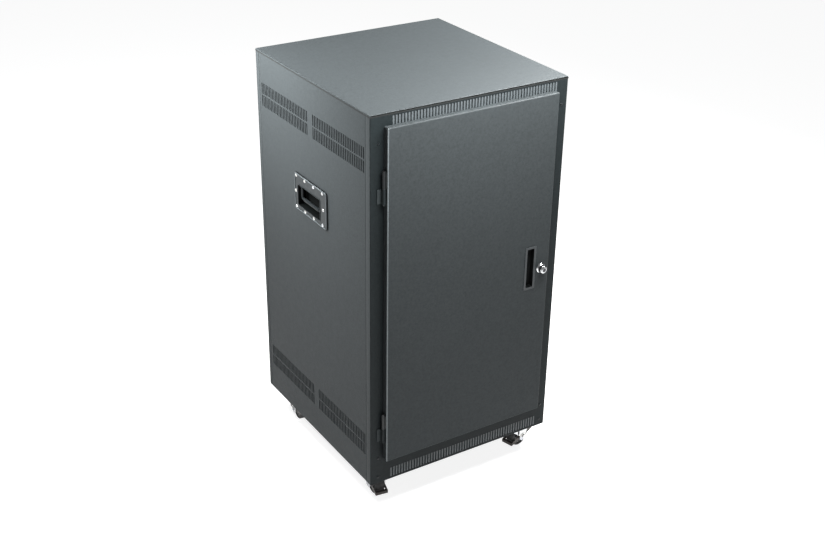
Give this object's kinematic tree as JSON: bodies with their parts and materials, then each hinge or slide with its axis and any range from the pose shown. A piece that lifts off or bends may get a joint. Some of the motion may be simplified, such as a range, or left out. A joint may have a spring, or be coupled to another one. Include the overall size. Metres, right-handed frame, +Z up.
{
  "type": "network server rack cabinet",
  "caption": "Floor-standing steel rack cabinet with a hinged solid door, cam lock, flush pull, side drop handles, punched rack rails and braked swivel casters.",
  "frame": {"origin": "on the floor, under the middle of the cabinet's bounding box", "axes": "+X to the right seen from the door, +Y to the back, +Z up; the door faces -Y"},
  "size_m": [0.5714, 0.614, 1.101],
  "materials": {
    "powder_black": "fine-textured satin powder coat",
    "powder_inner": "satin powder coat",
    "moulded_black": "semi-gloss black",
    "zinc": "bright zinc plate",
    "chrome": "polished chrome plate",
    "rubber_black": "matt black rubber",
    "hub_grey": "moulded grey plastic",
    "pedal_black": "black painted steel"
  },
  "bodies": {
    "cabinet": {"front_frame": "powder_black", "rear_frame": "powder_black", "rear_panel": "powder_black", "base_pan": "powder_inner", "top_panel": "powder_black", "left_side_panel": "powder_black", "right_side_panel": "powder_black", "left_handle_dish": "moulded_black", "right_handle_dish": "moulded_black", "lower_left_depth_bar": "powder_inner", "lower_right_depth_bar": "powder_inner", "upper_left_depth_bar": "powder_inner", "upper_right_depth_bar": "powder_inner", "front_left_rack_rail": "powder_inner", "front_right_rack_rail": "powder_inner", "rear_left_rack_rail": "powder_inner", "rear_right_rack_rail": "powder_inner", "lower_hinge_frame_leaf": "moulded_black", "upper_hinge_frame_leaf": "moulded_black", "lower_hinge_pin": "zinc", "upper_hinge_pin": "zinc", "front_left_caster_plate": "zinc", "front_right_caster_plate": "zinc", "rear_left_caster_plate": "zinc", "rear_right_caster_plate": "zinc"},
    "door": {"door_panel": "powder_black", "door_stiffener": "powder_inner", "lower_hinge_door_leaf": "moulded_black", "upper_hinge_door_leaf": "moulded_black", "flush_pull": "moulded_black", "lock_body": "chrome", "lock_nut": "zinc"},
    "lock_cam": {"lock_plug": "chrome", "lock_cam": "zinc", "cam_screw": "zinc"},
    "left_grip": {"left_handle_grip": "moulded_black"},
    "right_grip": {"right_handle_grip": "moulded_black"},
    "front_left_caster": {"front_left_caster_fork": "zinc", "front_left_axle_bolt": "zinc"},
    "front_left_wheel": {"front_left_tyre": "rubber_black", "front_left_hub": "hub_grey"},
    "front_left_brake": {"front_left_brake_pedal": "pedal_black"},
    "front_right_caster": {"front_right_caster_fork": "zinc", "front_right_axle_bolt": "zinc"},
    "front_right_wheel": {"front_right_tyre": "rubber_black", "front_right_hub": "hub_grey"},
    "front_right_brake": {"front_right_brake_pedal": "pedal_black"},
    "rear_left_caster": {"rear_left_caster_fork": "zinc", "rear_left_axle_bolt": "zinc"},
    "rear_left_wheel": {"rear_left_tyre": "rubber_black", "rear_left_hub": "hub_grey"},
    "rear_left_brake": {"rear_left_brake_pedal": "pedal_black"},
    "rear_right_caster": {"rear_right_caster_fork": "zinc", "rear_right_axle_bolt": "zinc"},
    "rear_right_wheel": {"rear_right_tyre": "rubber_black", "rear_right_hub": "hub_grey"},
    "rear_right_brake": {"rear_right_brake_pedal": "pedal_black"}
  },
  "joints": [
    {"name": "door_swing", "type": "hinge", "parent": "cabinet", "child": "door", "pos_m": [-0.248, -0.28, 0.59], "axis": [0, 0, -1], "range_deg": [0, 135]},
    {"name": "lock_turn", "type": "hinge", "parent": "door", "child": "lock_cam", "pos_m": [0.217, -0.289, 0.602], "axis": [0, -1, 0], "range_deg": [0, 90]},
    {"name": "left_grip_drop", "type": "hinge", "parent": "cabinet", "child": "left_grip", "pos_m": [-0.274, 0.0255, 0.798], "axis": [0, 1, 0], "range_deg": [0, 90]},
    {"name": "right_grip_drop", "type": "hinge", "parent": "cabinet", "child": "right_grip", "pos_m": [0.274, 0.0255, 0.798], "axis": [0, -1, 0], "range_deg": [0, 90]},
    {"name": "front_left_swivel", "type": "hinge", "parent": "cabinet", "child": "front_left_caster", "pos_m": [-0.22, -0.211, 0.09], "axis": [0, 0, 1], "continuous": true},
    {"name": "front_left_roll", "type": "hinge", "parent": "front_left_caster", "child": "front_left_wheel", "pos_m": [-0.21722, -0.1912, 0.033], "axis": [0.9903, -0.1392, 0], "continuous": true},
    {"name": "front_left_brake", "type": "hinge", "parent": "front_left_caster", "child": "front_left_brake", "pos_m": [-0.21722, -0.1912, 0.033], "axis": [-0.9903, 0.1392, 0], "range_deg": [0, 10]},
    {"name": "front_right_swivel", "type": "hinge", "parent": "cabinet", "child": "front_right_caster", "pos_m": [0.22, -0.211, 0.09], "axis": [0, 0, 1], "continuous": true},
    {"name": "front_right_roll", "type": "hinge", "parent": "front_right_caster", "child": "front_right_wheel", "pos_m": [0.23932, -0.20582, 0.033], "axis": [0.2588, -0.9659, 0], "continuous": true},
    {"name": "front_right_brake", "type": "hinge", "parent": "front_right_caster", "child": "front_right_brake", "pos_m": [0.23932, -0.20582, 0.033], "axis": [-0.2588, 0.9659, 0], "range_deg": [0, 10]},
    {"name": "rear_left_swivel", "type": "hinge", "parent": "cabinet", "child": "rear_left_caster", "pos_m": [-0.22, 0.247, 0.09], "axis": [0, 0, 1], "continuous": true},
    {"name": "rear_left_roll", "type": "hinge", "parent": "rear_left_caster", "child": "rear_left_wheel", "pos_m": [-0.22278, 0.2272, 0.033], "axis": [-0.9903, 0.1392, 0], "continuous": true},
    {"name": "rear_left_brake", "type": "hinge", "parent": "rear_left_caster", "child": "rear_left_brake", "pos_m": [-0.22278, 0.2272, 0.033], "axis": [0.9903, -0.1392, 0], "range_deg": [0, 10]},
    {"name": "rear_right_swivel", "type": "hinge", "parent": "cabinet", "child": "rear_right_caster", "pos_m": [0.22, 0.247, 0.09], "axis": [0, 0, 1], "continuous": true},
    {"name": "rear_right_roll", "type": "hinge", "parent": "rear_right_caster", "child": "rear_right_wheel", "pos_m": [0.21, 0.22968, 0.033], "axis": [-0.866, 0.5, 0], "continuous": true},
    {"name": "rear_right_brake", "type": "hinge", "parent": "rear_right_caster", "child": "rear_right_brake", "pos_m": [0.21, 0.22968, 0.033], "axis": [0.866, -0.5, 0], "range_deg": [0, 10]}
  ]
}
